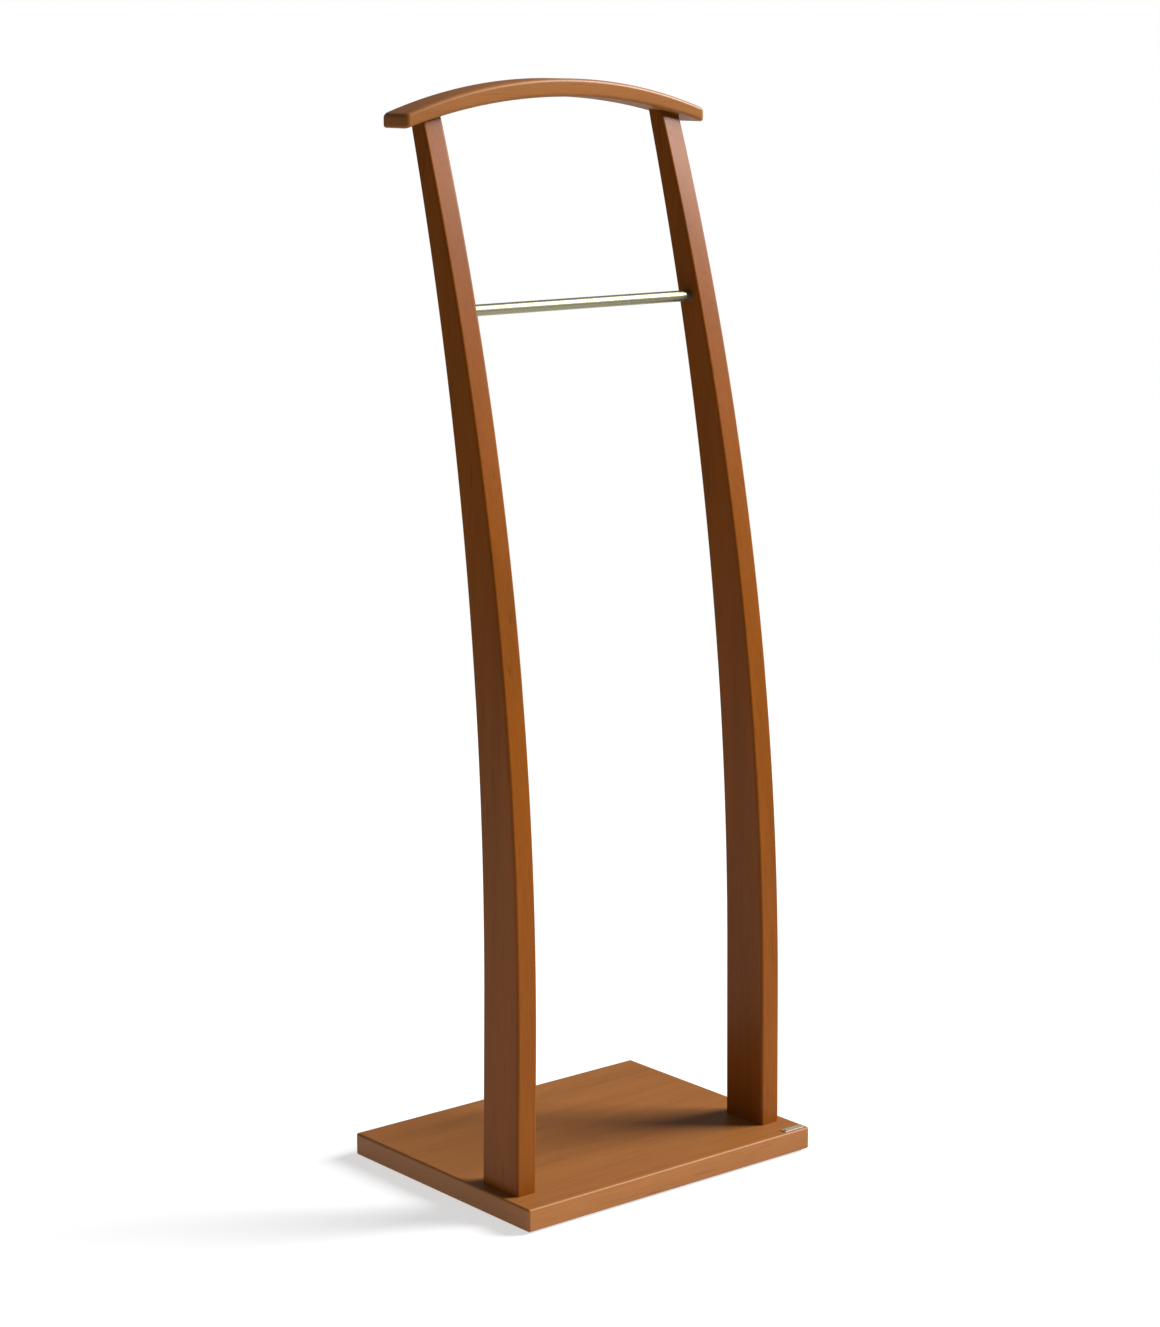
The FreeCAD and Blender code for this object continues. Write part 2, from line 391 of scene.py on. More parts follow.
def placed(made: bpy.types.Object, matrix: Matrix) -> bpy.types.Object:
    """Move a piece's mesh and leave its object at the origin."""
    made.data.transform(matrix)
    return made


def at(x: float, y: float, z: float) -> Matrix:
    """Go to a point."""
    return Matrix.Translation((x, y, z))


def along_x(x: float, y: float, z: float, sign: float = 1.0) -> Matrix:
    """Turn +Z towards X, or towards -X for a negative sign, and go to a point."""
    return at(x, y, z) @ Matrix.Rotation(math.radians(90.0 * sign), 4, "Y")


def pierced(made: bpy.types.Object, tools: list[bpy.types.Object]) -> bpy.types.Object:
    """Cut the tools' shapes out of a piece.

    Args:
        made: the piece.
        tools: what to cut out. They aren't changed.

    Returns:
        The same piece, as a plain mesh.
    """
    for tool in tools:
        cut = made.modifiers.new(tool.name, "BOOLEAN")
        cut.operation = "DIFFERENCE"
        cut.solver = "EXACT"
        cut.object = tool
        cut.material_mode = "INDEX"
    return baked(made)


def repeated(
    name: str, template: bpy.types.Object, first: Vector, pitch: Vector, count: int
) -> bpy.types.Object:
    """Copies of a template along a line, as one piece.

    Args:
        name: the piece's name.
        template: what is repeated, which is used up.
        first: where the first copy goes.
        pitch: the step from one copy to the next.
        count: how many there are.

    Returns:
        The piece.
    """
    tree = Tree(name)
    line = tree.call(
        "GeometryNodeMeshLine",
        {"Count": tree.size("count", count), "Start Location": first, "Offset": pitch},
    )
    source = tree.node("GeometryNodeObjectInfo")
    source.inputs["Object"].default_value = template
    each = source.outputs["Geometry"]
    copies = tree.call("GeometryNodeInstanceOnPoints", {"Points": line, "Instance": each})
    made = tree.finish(copies, template.data.materials[0])
    bpy.data.objects.remove(template)
    return made


def belongs(made: bpy.types.Object, node: str, body: str) -> bpy.types.Object:
    """Put a finished piece in place of a CAD node.

    Args:
        made: the piece, with no modifier left on it.
        node: the node that it stands for.
        body: the body that it rides on.

    Returns:
        The same piece.
    """
    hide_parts(node)
    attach(made, body)
    LOG.info("%s: %d faces", made.name, len(made.data.polygons))
    return made


# Finishes ------------------------------------------------------------------------------------


class Surface:
    """A material under construction: its shader, and noises laid out in the piece's own space."""

    def __init__(self, finish: "Finish") -> None:
        """Start a material from a finish's plain numbers.

        Args:
            finish: the finish.
        """
        self.material = bpy.data.materials.new(finish.name)
        self.material.use_nodes = True
        tree = self.material.node_tree
        self.add, self.link = tree.nodes.new, tree.links.new
        self.shader = next(n for n in tree.nodes if n.type == "BSDF_PRINCIPLED")
        for key, value in {
            "Base Color": (*finish.colour, 1.0),
            "Roughness": finish.roughness,
            "Metallic": finish.metallic,
            "Sheen Weight": finish.sheen,
            "Specular IOR Level": finish.specular,
            "Emission Strength": finish.glow,
        }.items():
            self.shader.inputs[key].default_value = value
        self.space = self.add("ShaderNodeMapping")
        self.space.inputs["Location"].default_value = [finish.shift * part for part in DRIFT]
        self.space.inputs["Scale"].default_value = finish.stretch()
        self.link(self.add("ShaderNodeTexCoord").outputs["Object"], self.space.inputs["Vector"])

    def noise(self, scale: float, detail: float = 3.0, rough: float = 0.55) -> bpy.types.NodeSocket:
        """A noise from 0 to 1.

        Args:
            scale: how many features it has in a metre.
            detail: how many finer layers it has.
            rough: how strong they are.

        Returns:
            The noise.
        """
        made = self.add("ShaderNodeTexNoise")
        made.inputs["Scale"].default_value = scale
        made.inputs["Detail"].default_value = detail
        made.inputs["Roughness"].default_value = rough
        self.link(self.space.outputs["Vector"], made.inputs["Vector"])
        return made.outputs[0]

    def ramp(self, source: bpy.types.NodeSocket, stops: list[tuple[float, Colour]]) -> bpy.types.NodeSocket:
        """Colours over a noise's range.

        Args:
            source: the noise.
            stops: place and colour of each stop, in order.

        Returns:
            The colour.
        """
        made = self.add("ShaderNodeValToRGB")
        elements = made.color_ramp.elements
        while len(elements) < len(stops):
            elements.new(0.5)
        for element, (position, colour) in zip(elements, stops):
            element.position = position
            element.color = (*colour, 1.0)
        self.link(source, made.inputs["Fac"])
        return made.outputs["Color"]

    def multiplied(
        self, amount: float, under: bpy.types.NodeSocket, over: bpy.types.NodeSocket
    ) -> bpy.types.NodeSocket:
        """A colour with another laid over it as a glaze.

        Args:
            amount: how strong the glaze is.
            under: the colour below.
            over: the glaze.

        Returns:
            The two together.
        """
        made = self.add("ShaderNodeMix")
        made.data_type = "RGBA"
        made.blend_type = "MULTIPLY"
        made.inputs["Factor"].default_value = amount
        self.link(under, made.inputs["A"])
        self.link(over, made.inputs["B"])
        return made.outputs["Result"]

    def relief(self, height: bpy.types.NodeSocket, strength: float, distance: float) -> None:
        """Give the surface small hills and hollows.

        Args:
            height: the noise that they follow.
            strength: how much they show.
            distance: how high they are.
        """
        bump = self.add("ShaderNodeBump")
        bump.inputs["Strength"].default_value = strength
        bump.inputs["Distance"].default_value = distance
        self.link(height, bump.inputs["Height"])
        self.link(bump.outputs["Normal"], self.shader.inputs["Normal"])

    def gloss(self, source: bpy.types.NodeSocket, low: float, high: float) -> None:
        """Let the roughness follow a noise between two values."""
        spread = self.add("ShaderNodeMapRange")
        spread.inputs["To Min"].default_value = low
        spread.inputs["To Max"].default_value = high
        self.link(source, spread.inputs["Value"])
        self.link(spread.outputs["Result"], self.shader.inputs["Roughness"])


@dataclass(frozen=True)
class Finish:
    """A surface of one colour with a fine texture, such as satin metal, moulded plastic or felt."""

    name: str
    colour: Colour
    roughness: float = 0.5
    metallic: float = 0.0
    sheen: float = 0.0
    specular: float = 0.5
    glow: float = 0.0
    speckle: float = 600.0
    mottle: float = 0.1
    relief: float = 0.02 * MM
    relief_strength: float = 0.1
    drawn_x: float = 1.0
    shift: float = 0.0

    def stretch(self) -> list[float]:
        """How the texture is squeezed along each axis."""
        return [self.drawn_x, 1.0, 1.0]

    @cache
    def material(self) -> bpy.types.Material:
        """Build the material, once for each finish.

        Returns:
            The material.
        """
        surface = Surface(self)
        self.texture(surface)
        return surface.material

    def texture(self, surface: Surface) -> None:
        """Lay the fine texture over the plain numbers.

        Args:
            surface: the material under construction.
        """
        grit = surface.noise(self.speckle)
        low = tuple(part * (1.0 - self.mottle) for part in self.colour)
        tint = surface.ramp(grit, [(0.35, low), (0.60, self.colour)])
        surface.link(tint, surface.shader.inputs["Base Color"])
        surface.relief(grit, self.relief_strength, self.relief)
        smudge = surface.noise(self.speckle * 0.06, 2.0)
        surface.gloss(smudge, self.roughness * 0.86, min(1.0, self.roughness * 1.14))


@dataclass(frozen=True)
class StainedWood(Finish):
    """Close-grained wood, stained and lacquered to a satin."""

    grain: Grain = Grain.UP
    drawn_out: float = 0.05
    band_scale: float = 26.0
    fibre_scale: float = 420.0
    cloud_scale: float = 7.0
    fleck_scale: float = 260.0
    pore_scale: float = 700.0
    lacquer_scale: float = 60.0

    def stretch(self) -> list[float]:
        """The figure is drawn out along the grain."""
        return [self.drawn_out if axis == self.grain.value else 1.0 for axis in range(3)]

    def texture(self, surface: Surface) -> None:
        """Lay the wood's figure, fine grain and pores over the stain.

        Args:
            surface: the material under construction.
        """
        dark = tuple(part * 0.86 for part in self.colour)
        pale = tuple(part * 1.08 for part in self.colour)
        noise = surface.noise(self.band_scale)
        bands = surface.ramp(noise, [(0.28, dark), (0.50, self.colour), (0.74, pale)])
        noise = surface.noise(self.fibre_scale, 4.0, 0.6)
        fibre = surface.ramp(noise, [(0.36, (0.72, 0.68, 0.62)), (0.56, CLEAR)])
        noise = surface.noise(self.cloud_scale, 2.0, 0.5)
        cloud = surface.ramp(noise, [(0.35, (0.90, 0.87, 0.84)), (0.65, CLEAR)])
        noise = surface.noise(self.fleck_scale, 1.0, 0.5)
        fleck = surface.ramp(noise, [(0.24, (0.55, 0.42, 0.34)), (0.29, CLEAR)])
        tint = surface.multiplied(0.35, bands, fibre)
        tint = surface.multiplied(0.6, tint, cloud)
        tint = surface.multiplied(0.5, tint, fleck)
        surface.link(tint, surface.shader.inputs["Base Color"])
        surface.relief(surface.noise(self.pore_scale, 3.0, 0.6), 0.05, 0.3 * MM)
        surface.gloss(surface.noise(self.lacquer_scale), self.roughness - 0.04, self.roughness + 0.05)


CLEAR: Colour = (1.0, 1.0, 1.0)
BOARD_STAIN = StainedWood("board_stain", (0.272, 0.102, 0.024), roughness=0.40, specular=0.20)
HANGER_STAIN = StainedWood("hanger_stain", (0.268, 0.099, 0.022), roughness=0.38, specular=0.20)
POST_STAIN = StainedWood("post_stain", (0.200, 0.056, 0.005), roughness=0.32, specular=0.08)
BRASSY_NICKEL = Finish(
    "satin_nickel", (0.305, 0.293, 0.19), roughness=0.42, metallic=1.0, speckle=1600.0, mottle=0.05,
    relief=0.002 * MM, drawn_x=0.08,
)
ZINC = Finish("zinc_plate", (0.60, 0.62, 0.64), roughness=0.32, metallic=1.0, speckle=900.0)
PIN_STEEL = Finish("darkened_pin", (0.05, 0.04, 0.03), roughness=0.45, metallic=0.6, speckle=900.0)
BADGE = Finish(
    "badge_metal", (0.38, 0.33, 0.25), roughness=0.50, metallic=0.4, speckle=1400.0,
    relief=0.002 * MM, drawn_x=0.05,
)
NYLON = Finish("bush_nylon", (0.160, 0.065, 0.018), roughness=0.55, speckle=800.0)
PLUG = Finish("plug_plastic", (0.02, 0.02, 0.02), roughness=0.5, speckle=800.0)
FELT = Finish(
    "pressed_felt", (0.035, 0.022, 0.014), roughness=0.9, sheen=0.4, specular=0.1, speckle=1100.0,
    mottle=0.45, relief=0.4 * MM, relief_strength=0.6,
)
CORE = Finish(
    "fibreboard", (0.27, 0.18, 0.10), roughness=0.85, specular=0.2, speckle=1500.0, mottle=0.3,
    relief=0.1 * MM, relief_strength=0.3,
)
DOWEL_WOOD = StainedWood("dowel_wood", (0.55, 0.38, 0.21), roughness=0.8, specular=0.3)
PALE_FLOOR = Finish(
    "pale_floor", (0.42, 0.42, 0.42), roughness=0.8, specular=0.1, glow=0.6, speckle=40.0, mottle=0.0,
    relief_strength=0.0,
)


def cut_from(stain: StainedWood, name: str, grain: Grain, shift: float) -> bpy.types.Material:
    """One piece's own figure in a stain.

    Args:
        stain: the stain.
        name: the material's name.
        grain: which way the grain runs.
        shift: where in the figure this piece was cut.

    Returns:
        The material.
    """
    return replace(stain, name=name, grain=grain, shift=shift).material()


def plain_rod(name: str, radius: float, length: float) -> bpy.types.Object:
    """A rod from the origin up, which cuts a hole and is then put away."""
    made = stacked(name, [ring(radius, 0.0), ring(radius, length)], DOWEL_WOOD.material())
    CUTTERS.append(made)
    return made


def repaint(node: str, material: bpy.types.Material) -> None:
    """Give a CAD node a finish in its own slot."""
    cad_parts[node].data.materials.clear()
    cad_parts[node].data.materials.append(material)


# Sub-assemblies ------------------------------------------------------------------------------


@dataclass
class BaseBoard:
    """Veneered board with a solid lipping along each edge."""

    deck_cut: float = 0.31
    long_cut: float = 0.83
    short_cut: float = 1.47

    def dress(self) -> None:
        """Give each layer its wood, with the grain of the lippings along their length."""
        deck = cut_from(BOARD_STAIN, "deck_veneer", Grain.ACROSS, self.deck_cut)
        long_edge = cut_from(BOARD_STAIN, "long_lipping", Grain.ACROSS, self.long_cut)
        short_edge = cut_from(BOARD_STAIN, "short_lipping", Grain.DEEP, self.short_cut)
        for node in ("base_top_veneer", "base_bottom_veneer"):
            repaint(node, deck)
        for node in ("base_lipping_front", "base_lipping_back"):
            repaint(node, long_edge)
        for node in ("base_lipping_left", "base_lipping_right"):
            repaint(node, short_edge)
        repaint("base_core", CORE.material())
        LOG.info("base board: seven layers dressed")


@dataclass
class Upright:
    """One swept upright: straight at the foot, arcs at the front and rear, tipped to the middle."""

    side: str
    thickness: float = 26.0 * MM
    foot_depth: float = 59.0 * MM
    front_bend: float = 175.0 * MM
    rear_bend: float = 223.0 * MM
    front_radius: float = 2890.0 * MM
    rear_radius: float = 3345.0 * MM
    rear_tip: float = 68.0 * MM
    rounding: float = 3.0 * MM
    tip_in_deg: float = 0.64
    rings: int = 96
    socket_spare: float = 0.02 * MM
    insert_hole: float = 25.0 * MM
    first_cut: float = 2.1
    cut_apart: float = 0.9

    def build(self) -> bpy.types.Object:
        """Make the upright's mesh and put it in place of its node.

        Returns:
            The finished piece.
        """
        node = f"upright_{self.side}"
        low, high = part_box(node)
        sign = SIDES[self.side]
        hanger_low, hanger_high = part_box("shoulder_hanger")
        tree = Tree(f"swept_{node}")
        thickness = tree.size("thickness", self.thickness)
        depth = tree.size("foot depth", self.foot_depth)
        foot = tree.size("foot height", low[2])
        crown = tree.size("underside crown", hanger_high[2] - ShoulderHanger.middle_height)
        under = tree.size("underside radius", ShoulderHanger.under_radius)
        outer = tree.size("outer face", max(abs(low[0]), abs(high[0])))
        tip = tree.size("tip in", math.tan(math.radians(self.tip_in_deg)))
        rings = tree.size("rings", self.rings)
        blank = tree.bar(rings, thickness, depth, tree.size("rounding", self.rounding))
        x, y, step = tree.where()
        share = step / rings
        top_x = outer - thickness * 0.5 - x * float(-sign)
        height = foot + share * (crown - foot)
        reach = top_x - (height - foot) * tip
        height = foot + share * (crown - reach.drop(under) - foot)
        reach = top_x - (height - foot) * tip
        front = tree.size("foot front", low[1]) + self.sway(height, self.front_bend, self.front_radius)
        rear = tree.size("foot rear", low[1] + self.foot_depth) + self.sway(
            height, self.rear_bend, self.rear_radius
        )
        middle = (front + rear) * 0.5
        spread = (rear - front - depth) * 0.5
        back = (middle + y + y.sign() * spread).math("MINIMUM", self.rear_tip)
        shaped = tree.moved(blank, tree.point(reach * float(sign), back, height))
        cut = self.first_cut + self.cut_apart * sign
        made = tree.finish(shaped, cut_from(POST_STAIN, f"{node}_wood", Grain.UP, cut))
        return belongs(softened(pierced(made, self.drillings())), node, "frame")

    def drillings(self) -> list[bpy.types.Object]:
        """The solids that go into the upright: bar socket, inserts and dowels.

        Returns:
            The cutting tools.
        """
        spare, beyond = self.socket_spare, self.thickness / 4
        tools = [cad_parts[f"{kind}_{self.side}"] for kind in ("foot_dowel", "hanger_dowels")]
        low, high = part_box(f"bar_bush_{self.side}")
        radius = (high[2] - low[2]) / 2 + spare
        middle_y, middle_z = (low[1] + high[1]) / 2, (low[2] + high[2]) / 2
        mouth, end = (low[0], high[0]) if SIDES[self.side] > 0 else (high[0], low[0])
        socket = plain_rod(f"socket_{self.side}", radius, abs(end - mouth) + 2 * spare + beyond)
        start = mouth - SIDES[self.side] * beyond
        tools.append(placed(socket, along_x(start, middle_y, middle_z, SIDES[self.side])))
        low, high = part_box(f"foot_inserts_{self.side}")
        radius = (high[0] - low[0]) / 2
        for y in (low[1] + radius, high[1] - radius):
            hole = plain_rod(f"insert_hole_{self.side}", radius + spare, self.insert_hole + beyond)
            tools.append(placed(hole, at((low[0] + high[0]) / 2, y, low[2] - beyond)))
        return tools

    def sway(self, height: Value, bend: float, radius: float) -> Value:
        """How far an edge has swung back at a height."""
        return (height - bend).math("MAXIMUM", 0.0).drop(radius)


@dataclass
class ShoulderHanger:
    """Crescent board with every edge rounded."""

    middle_height: float = 19.0 * MM
    top_radius: float = 620.0 * MM
    under_radius: float = 700.0 * MM
    plan_corner: float = 7.0 * MM
    rounding: float = 4.0 * MM
    end_rings: int = 14
    rings: int = 108
    cut: float = 4.4

    def build(self) -> bpy.types.Object:
        """Make the hanger's mesh and put it in place of its node.

        Returns:
            The finished piece.
        """
        low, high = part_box("shoulder_hanger")
        tree = Tree("hanger_crescent")
        half = tree.size("half length", high[0])
        half_depth = tree.size("half depth", (high[1] - low[1]) / 2)
        middle_y = tree.size("middle", (high[1] + low[1]) / 2)
        top = tree.size("crown", high[2])
        height = tree.size("middle height", self.middle_height)
        rounding = tree.size("rounding", self.rounding)
        corner = tree.size("plan corner", self.plan_corner)
        rings = tree.size("rings", self.rings)
        ends = tree.size("rings in each round end", self.end_rings)
        blank = tree.bar(rings, height, half_depth * 2.0, rounding)
        z, y, step = tree.where()
        from_end = rings * 0.5 - (step - rings * 0.5).math("ABSOLUTE")
        turn = (from_end / ends).math("MINIMUM", 1.0) * (math.pi / 2)
        inward = corner * (tree.constant(1.0) - turn.math("COSINE"))
        along = (from_end - ends).math("MAXIMUM", 0.0) / (rings * 0.5 - ends)
        inward = inward + along * (half - corner)
        x = (half - inward) * (step - rings * 0.5).sign()
        into_corner = (corner - inward).math("MAXIMUM", 0.0)
        narrowed = corner - (corner * corner - into_corner * into_corner).math("SQRT")
        offset = y * (half_depth - narrowed) / half_depth
        past_corner = (offset.math("ABSOLUTE") - half_depth + corner).math("MAXIMUM", 0.0)
        reach = (into_corner * into_corner + past_corner * past_corner).math("SQRT")
        inset = (corner - reach).math("MINIMUM", rounding).math("MAXIMUM", 0.0)
        fallen = rounding - (rounding * rounding - (rounding - inset) * (rounding - inset)).math("SQRT")
        top_here = top - x.drop(self.top_radius) - fallen
        under_here = top - height - x.drop(self.under_radius) + fallen
        is_top = z.sign() * 0.5 + 0.5
        new_z = under_here + (top_here - under_here) * is_top
        made = tree.finish(
            tree.moved(blank, tree.point(x, middle_y + offset, new_z)),
            cut_from(HANGER_STAIN, "hanger_wood", Grain.ACROSS, self.cut),
        )
        tools = [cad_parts[f"hanger_dowels_{side}"] for side in SIDES]
        return belongs(softened(pierced(made, tools)), "shoulder_hanger", "frame")


@dataclass
class TrouserBar:
    """Satin tube that turns in a flush bush at each end, with a plug in each end."""

    wall: float = 1.0 * MM
    edge: float = 0.25 * MM
    bush_floor: float = 1.0 * MM
    running_gap: float = 0.06 * MM

    def build(self) -> None:
        """Make the tube, its plugs and its bushes."""
        low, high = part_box("trouser_bar")
        radius, length = (high[2] - low[2]) / 2, high[0] - low[0]
        y, z = (low[1] + high[1]) / 2, (low[2] + high[2]) / 2
        bore, edge = radius - self.wall, self.edge
        tube = stacked(
            "trouser_tube",
            [
                ring(bore, 0.0), ring(radius - edge, 0.0), ring(radius, edge),
                ring(radius, length - edge), ring(radius - edge, length), ring(bore, length),
            ],
            BRASSY_NICKEL.material(),
            hollow=True,
        )
        belongs(placed(tube, along_x(low[0], y, z)), "trouser_bar", "bar")
        nylon, plastic = NYLON.material(), PLUG.material()
        for side, sign in SIDES.items():
            low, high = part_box(f"bar_plug_{side}")
            plug_length = high[0] - low[0]
            plug = stacked(
                f"tube_plug_{side}",
                [
                    ring(bore - edge, 0.0), ring(bore, edge),
                    ring(bore, plug_length - edge), ring(bore - edge, plug_length),
                ],
                plastic,
            )
            belongs(placed(plug, along_x(low[0], y, z)), f"bar_plug_{side}", "bar")
            low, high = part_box(f"bar_bush_{side}")
            outer, depth = (high[2] - low[2]) / 2, high[0] - low[0]
            inner, floor = radius + self.running_gap, depth - self.bush_floor
            bush = stacked(
                f"bush_{side}",
                [
                    [(0.0, 0.0, floor)], ring(inner, floor), ring(inner, 0.0),
                    ring(outer, 0.0), ring(outer, depth), [(0.0, 0.0, depth)],
                ],
                nylon,
            )
            mouth = low[0] if sign > 0 else high[0]
            belongs(placed(bush, along_x(mouth, y, z, sign)), f"bar_bush_{side}", "frame")


@dataclass
class FootFixings:
    """Two bolts with washers up through the board into an upright, and the dowel between them."""

    side: str
    bolt_radius: float = 3.0 * MM
    head_radius: float = 5.0 * MM
    head_height: float = 6.0 * MM
    key_corner: float = 2.9 * MM
    key_depth: float = 3.0 * MM
    chamfer: float = 0.5 * MM
    thread_pitch: float = 1.0 * MM
    thread_depth: float = 0.35 * MM
    washer_bore: float = 3.3 * MM
    flutes: int = 12

    def build(self) -> None:
        """Make the bolts, washers, inserts and dowel of one foot."""
        self.repeat("bolts", self.bolt())
        for kind, bore in (("washers", self.washer_bore), ("inserts", self.bolt_radius)):
            low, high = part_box(f"foot_{kind}_{self.side}")
            self.repeat(kind, self.sleeve(kind, (high[0] - low[0]) / 2, bore, high[2] - low[2]))
        self.dowel()

    def bolt(self) -> bpy.types.Object:
        """A socket head bolt with its head down and a rolled thread.

        Returns:
            The bolt, which stands on its head at the origin.
        """
        low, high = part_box(f"foot_bolts_{self.side}")
        total = high[2] - low[2]
        head, radius, chamfer = self.head_radius, self.bolt_radius, self.chamfer
        loops = [
            [(0.0, 0.0, self.key_depth)],
            hexagon(self.key_corner, self.key_depth),
            hexagon(self.key_corner, 0.0),
            ring(head - chamfer, 0.0),
            ring(head, chamfer),
            ring(head, self.head_height),
            ring(radius, self.head_height),
        ]
        height = self.head_height + self.thread_pitch
        while height < total - chamfer - self.thread_pitch:
            loops.append(ring(radius - self.thread_depth, height))
            loops.append(ring(radius, height + self.thread_pitch / 2))
            height += self.thread_pitch
        loops += [ring(radius, total - chamfer), ring(radius - chamfer, total), [(0.0, 0.0, total)]]
        return stacked("bolt", loops, ZINC.material())

    def sleeve(self, name: str, outer: float, inner: float, height: float) -> bpy.types.Object:
        """A washer or an insert: a ring with its outer edges broken."""
        edge = self.chamfer / 2
        loops = [
            ring(inner, 0.0), ring(outer - edge, 0.0), ring(outer, edge),
            ring(outer, height - edge), ring(outer - edge, height), ring(inner, height),
        ]
        return stacked(name, loops, ZINC.material(), hollow=True)

    def repeat(self, kind: str, template: bpy.types.Object) -> None:
        """Put a template where the node's two pieces are.

        Args:
            kind: the node's kind.
            template: the piece to repeat.
        """
        node = f"foot_{kind}_{self.side}"
        low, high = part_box(node)
        radius = (high[0] - low[0]) / 2
        first = Vector((low[0] + radius, low[1] + radius, low[2]))
        pitch = Vector((0.0, high[1] - low[1] - 2 * radius, 0.0))
        made = repeated(f"fixing_{kind}_{self.side}", template, first, pitch, 2)
        belongs(made, node, "frame")

    def dowel(self) -> None:
        """The fluted dowel that keeps the foot from turning."""
        node = f"foot_dowel_{self.side}"
        low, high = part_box(node)
        radius, length, point = (high[0] - low[0]) / 2, high[2] - low[2], 2 * self.chamfer
        loops = [
            ring(radius - point, 0.0),
            ring(radius, point, self.flutes, self.chamfer),
            ring(radius, length - point, self.flutes, self.chamfer),
            ring(radius - point, length),
        ]
        made = stacked(f"fluted_dowel_{self.side}", loops, DOWEL_WOOD.material())
        middle = at((low[0] + high[0]) / 2, (low[1] + high[1]) / 2, low[2])
        belongs(placed(made, middle), node, "frame")


@dataclass
class FeltPad:
    """Round pad of pressed felt, softened at its lower edge."""

    node: str
    edge: float = 0.7 * MM
    swell: float = 0.25 * MM

    def build(self) -> None:
        """Make the pad."""
        low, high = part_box(self.node)
        radius, height = (high[0] - low[0]) / 2, high[2] - low[2]
        loops = [
            ring(radius - self.swell - self.edge, 0.0),
            ring(radius - self.swell - 0.3 * self.edge, 0.3 * self.edge),
            ring(radius - self.swell, self.edge),
            ring(radius, 0.6 * height),
            ring(radius - self.swell, height),
        ]
        made = stacked(f"{self.node}_disc", loops, FELT.material())
        middle = at((low[0] + high[0]) / 2, (low[1] + high[1]) / 2, low[2])
        belongs(placed(made, middle), self.node, "frame")


@dataclass
class Badge:
    """Plain metal plate with a broken edge, held by one dark domed pin."""

    corner: float = 1.0 * MM
    edge: float = 0.2 * MM
    shank: float = 0.8 * MM
    head_rim: float = 0.12 * MM

    def build(self) -> None:
        """Make the plate and its pin."""
        low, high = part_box("badge_plate")
        width, depth, thick = (high[axis] - low[axis] for axis in range(3))
        loops = [
            oblong(width, depth, self.corner, 0.0),
            oblong(width, depth, self.corner, thick - self.edge),
            oblong(width - 2 * self.edge, depth - 2 * self.edge, self.corner - self.edge, thick),
        ]
        plate = stacked("badge", loops, BADGE.material())
        middle = at((low[0] + high[0]) / 2, (low[1] + high[1]) / 2, low[2])
        belongs(placed(plate, middle), "badge_plate", "frame")
        top = high[2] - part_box("badge_pin")[0][2]
        low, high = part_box("badge_pin")
        head, total = (high[0] - low[0]) / 2, high[2] - low[2]
        loops = [
            ring(self.shank, 0.0),
            ring(self.shank, top),
            ring(head, top),
            ring(head, top + self.head_rim),
            ring(0.75 * head, 0.6 * total + 0.4 * top),
            ring(0.4 * head, 0.93 * total + 0.07 * top),
            [(0.0, 0.0, total)],
        ]
        pin = stacked("badge_tack", loops, PIN_STEEL.material())
        middle = at((low[0] + high[0]) / 2, (low[1] + high[1]) / 2, low[2])
        belongs(placed(pin, middle), "badge_pin", "frame")


# Studio --------------------------------------------------------------------------------------


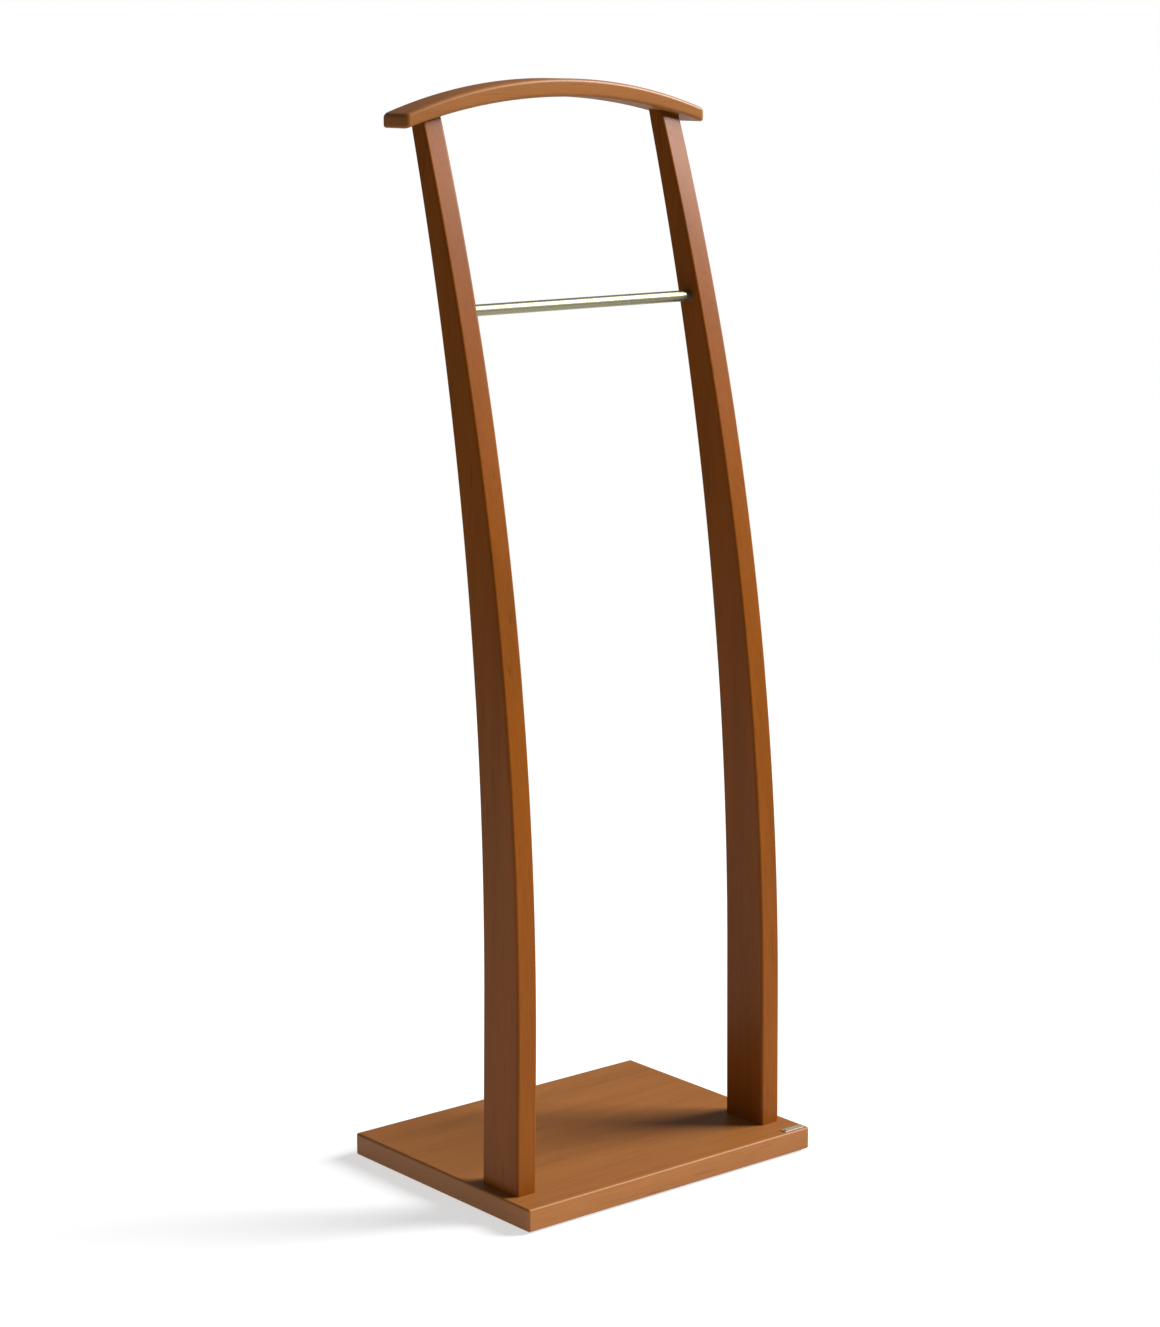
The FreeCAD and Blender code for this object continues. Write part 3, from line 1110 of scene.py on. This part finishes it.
@dataclass
class Studio:
    """Pale floor, soft lights and the camera."""

    aim: tuple[float, float, float] = (-0.003, 0.002, 0.555)
    azimuth_deg: float = -39.65
    elevation_deg: float = 11.34
    distance: float = 3.417
    lens: float = 86.05
    sensor: float = 36.0
    sun_azimuth_deg: float = 64.0
    sun_elevation_deg: float = 30.0
    sun_strength: float = 6.9
    sun_spread_deg: float = 34.0
    surround: float = 0.16
    lamps: dict[str, tuple[tuple[float, float, float], float, float]] = field(
        default_factory=lambda: {
            "high_front": ((1.15, -0.87, 1.80), 0.30, 12.5),
            "low_left": ((-1.3, -0.5, 0.35), 0.8, 1.5),
        }
    )

    def build(self) -> None:
        """Set up the floor, the lamps, the world and the camera."""
        bpy.context.scene.view_settings.view_transform = "Standard"
        self.world()
        bpy.ops.mesh.primitive_plane_add(size=4.0, location=(0.0, 0.0, -0.2 * MM))
        floor = bpy.context.object
        floor.name = "floor"
        floor.data.materials.append(PALE_FLOOR.material())
        turn, rise = math.radians(self.sun_azimuth_deg), math.radians(self.sun_elevation_deg)
        towards = Vector((math.sin(turn) * math.cos(rise), -math.cos(turn) * math.cos(rise), math.sin(rise)))
        sun = bpy.data.lights.new("key", "SUN")
        sun.energy = self.sun_strength
        sun.angle = math.radians(self.sun_spread_deg)
        self.hang(sun, towards * 4.0, Vector())
        for name, (place, size, power) in self.lamps.items():
            lamp = bpy.data.lights.new(name, "AREA")
            lamp.size = size
            lamp.energy = power
            self.hang(lamp, Vector(place), Vector(self.aim))
        self.camera()

    def world(self) -> None:
        """A white surround that gives a softer light than it shows."""
        world = bpy.data.worlds.new("studio")
        bpy.context.scene.world = world
        world.use_nodes = True
        nodes, links = world.node_tree.nodes, world.node_tree.links
        glow = next(n for n in nodes if n.type == "BACKGROUND")
        glow.inputs["Color"].default_value = (1.0, 1.0, 1.0, 1.0)
        seen = nodes.new("ShaderNodeLightPath")
        strength = nodes.new("ShaderNodeMapRange")
        strength.inputs["To Min"].default_value = self.surround
        strength.inputs["To Max"].default_value = 1.0
        links.new(seen.outputs["Is Camera Ray"], strength.inputs["Value"])
        links.new(strength.outputs["Result"], glow.inputs["Strength"])

    def hang(self, light: bpy.types.Light, place: Vector, aim: Vector) -> None:
        """Put a light at a place, turned to a point.

        Args:
            light: the light.
            place: where it hangs.
            aim: the point that it faces.
        """
        lamp = bpy.data.objects.new(light.name, light)
        lamp.location = place
        lamp.rotation_euler = (aim - place).to_track_quat("-Z", "Y").to_euler()
        bpy.context.scene.collection.objects.link(lamp)

    def camera(self) -> None:
        """Stand the camera off to the front left, a little above the hanger."""
        data = bpy.data.cameras.new("camera")
        data.lens = self.lens
        data.sensor_width = self.sensor
        camera = bpy.data.objects.new("camera", data)
        turn, rise = math.radians(self.azimuth_deg), math.radians(self.elevation_deg)
        back = Vector((math.sin(turn) * math.cos(rise), -math.cos(turn) * math.cos(rise), math.sin(rise)))
        camera.location = Vector(self.aim) + back * self.distance
        camera.rotation_euler = (-back).to_track_quat("-Z", "Y").to_euler()
        bpy.context.scene.collection.objects.link(camera)
        bpy.context.scene.camera = camera


def main() -> None:
    """Build every piece in order and report each."""
    logging.basicConfig(level=logging.INFO, format="%(message)s")
    Studio().build()
    BaseBoard().dress()
    for side in SIDES:
        Upright(side).build()
        FootFixings(side).build()
        repaint(f"hanger_dowels_{side}", DOWEL_WOOD.material())
    ShoulderHanger().build()
    TrouserBar().build()
    for node in (f"felt_pad_{end}_{side}" for end in ("front", "back") for side in SIDES):
        FeltPad(node).build()
    Badge().build()
    for tool in CUTTERS:
        bpy.data.objects.remove(tool)


if __name__ == "__main__":
    main()
